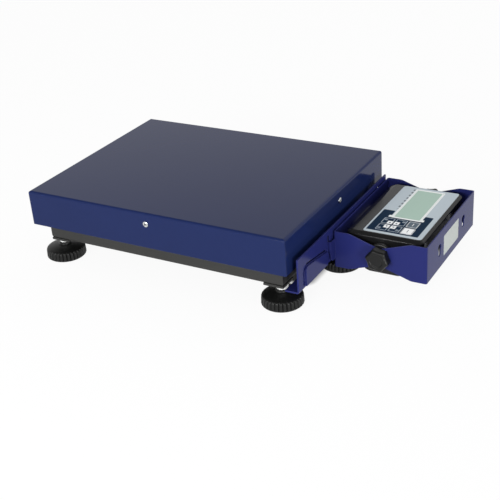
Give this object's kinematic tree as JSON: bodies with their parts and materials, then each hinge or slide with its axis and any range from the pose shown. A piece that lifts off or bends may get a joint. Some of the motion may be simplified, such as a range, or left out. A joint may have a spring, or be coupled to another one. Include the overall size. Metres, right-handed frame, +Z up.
{
  "type": "floor scale",
  "caption": "Low floor scale: folded steel platform on a load cell and tubular frame with levelling feet, and a tilting display terminal in a sheet metal cradle hooked on at the side.",
  "frame": {"origin": "middle of the footprint, on the floor", "axes": "+X runs along the length from the platform to the terminal, +Y from front to rear, +Z up"},
  "size_m": [0.7192, 0.4108, 0.1442],
  "materials": {
    "platform_paint": "semi-gloss slate blue paint",
    "bracket_paint": "semi-gloss violet blue paint",
    "frame_paint": "matt dark grey paint",
    "black_plastic": "matt moulded",
    "case_plastic": "fine moulded texture",
    "zinc": "bright zinc plate",
    "aluminium": "milled",
    "rubber": "matt",
    "panel_film": "light grey film",
    "window_film": "smooth window, pale green behind",
    "key_film": "navy film",
    "board": "green solder mask",
    "battery_wrap": "shrink wrap"
  },
  "bodies": {
    "base": {"base_frame": "frame_paint", "load_cell_beam": "frame_paint", "load_cell": "aluminium", "load_cell_lower_spacer": "zinc", "load_cell_lower_bolt_inner": "zinc", "load_cell_lower_bolt_outer": "zinc", "side_bracket": "bracket_paint", "bracket_screw_front": "zinc", "bracket_screw_rear": "zinc", "frame_gland": "black_plastic", "foot_nut_front_left": "zinc", "foot_nut_front_right": "zinc", "foot_nut_rear_left": "zinc", "foot_nut_rear_right": "zinc", "foot_nut_bracket": "zinc"},
    "platform": {"platform_cover": "platform_paint", "cover_screw_front": "zinc", "cover_screw_right": "zinc", "cover_screw_rear": "zinc", "cover_screw_left": "zinc", "weighing_frame": "frame_paint", "load_cell_upper_spacer": "zinc", "load_cell_upper_bolt_inner": "zinc", "load_cell_upper_bolt_outer": "zinc"},
    "foot_front_left": {"foot_pad_front_left": "black_plastic", "foot_stud_front_left": "zinc"},
    "foot_front_right": {"foot_pad_front_right": "black_plastic", "foot_stud_front_right": "zinc"},
    "foot_rear_left": {"foot_pad_rear_left": "black_plastic", "foot_stud_rear_left": "zinc"},
    "foot_rear_right": {"foot_pad_rear_right": "black_plastic", "foot_stud_rear_right": "zinc"},
    "foot_bracket": {"foot_pad_bracket": "black_plastic", "foot_stud_bracket": "zinc"},
    "cradle": {"cradle": "bracket_paint"},
    "terminal": {"case_top": "case_plastic", "case_bottom": "case_plastic", "case_gasket": "rubber", "front_panel": "panel_film", "display_window": "window_film", "display_module": "board", "keypad_mat": "rubber", "circuit_board": "board", "battery": "battery_wrap", "battery_cover": "case_plastic", "terminal_gland": "black_plastic", "pivot_disc_front": "case_plastic", "pivot_disc_rear": "case_plastic", "case_screw_front_left": "zinc", "case_screw_front_right": "zinc", "case_screw_rear_left": "zinc", "case_screw_rear_right": "zinc"},
    "knob_front": {"knob_front": "black_plastic"},
    "knob_rear": {"knob_rear": "black_plastic"},
    "key_1": {"key_1": "key_film"},
    "key_2": {"key_2": "key_film"},
    "key_3": {"key_3": "key_film"},
    "key_4": {"key_4": "key_film"},
    "key_5": {"key_5": "key_film"},
    "key_6": {"key_6": "key_film"}
  },
  "joints": [
    {"name": "platform_travel", "type": "slide", "parent": "base", "child": "platform", "axis": [0, 0, -1], "range_m": [0, 0.00025], "stiffness_N_per_m": 120000, "springref_m": -0.001},
    {"name": "foot_front_left_levelling", "type": "slide", "parent": "base", "child": "foot_front_left", "axis": [0, 0, -1], "range_m": [0, 0.01]},
    {"name": "foot_front_right_levelling", "type": "slide", "parent": "base", "child": "foot_front_right", "axis": [0, 0, -1], "range_m": [0, 0.01]},
    {"name": "foot_rear_left_levelling", "type": "slide", "parent": "base", "child": "foot_rear_left", "axis": [0, 0, -1], "range_m": [0, 0.01]},
    {"name": "foot_rear_right_levelling", "type": "slide", "parent": "base", "child": "foot_rear_right", "axis": [0, 0, -1], "range_m": [0, 0.01]},
    {"name": "foot_bracket_levelling", "type": "slide", "parent": "base", "child": "foot_bracket", "axis": [0, 0, -1], "range_m": [0, 0.01]},
    {"name": "cradle_lift", "type": "slide", "parent": "base", "child": "cradle", "axis": [0, 0, 1], "range_m": [0, 0.012]},
    {"name": "terminal_tilt", "type": "hinge", "parent": "cradle", "child": "terminal", "pos_m": [0.27515, 0.0674, 0.05985], "axis": [0, -1, 0], "range_deg": [-45, 45]},
    {"name": "knob_front_turn", "type": "hinge", "parent": "terminal", "child": "knob_front", "pos_m": [0.27515, -0.0706, 0.05985], "axis": [0, -1, 0], "continuous": true},
    {"name": "knob_rear_turn", "type": "hinge", "parent": "terminal", "child": "knob_rear", "pos_m": [0.27515, 0.2054, 0.05985], "axis": [0, 1, 0], "continuous": true},
    {"name": "key_1_press", "type": "slide", "parent": "terminal", "child": "key_1", "axis": [0, 0, -1], "range_m": [0, 0.0005], "stiffness_N_per_m": 400, "springref_m": -0.0005},
    {"name": "key_2_press", "type": "slide", "parent": "terminal", "child": "key_2", "axis": [0, 0, -1], "range_m": [0, 0.0005], "stiffness_N_per_m": 400, "springref_m": -0.0005},
    {"name": "key_3_press", "type": "slide", "parent": "terminal", "child": "key_3", "axis": [0, 0, -1], "range_m": [0, 0.0005], "stiffness_N_per_m": 400, "springref_m": -0.0005},
    {"name": "key_4_press", "type": "slide", "parent": "terminal", "child": "key_4", "axis": [0, 0, -1], "range_m": [0, 0.0005], "stiffness_N_per_m": 400, "springref_m": -0.0005},
    {"name": "key_5_press", "type": "slide", "parent": "terminal", "child": "key_5", "axis": [0, 0, -1], "range_m": [0, 0.0005], "stiffness_N_per_m": 400, "springref_m": -0.0005},
    {"name": "key_6_press", "type": "slide", "parent": "terminal", "child": "key_6", "axis": [0, 0, -1], "range_m": [0, 0.0005], "stiffness_N_per_m": 400, "springref_m": -0.0005}
  ]
}
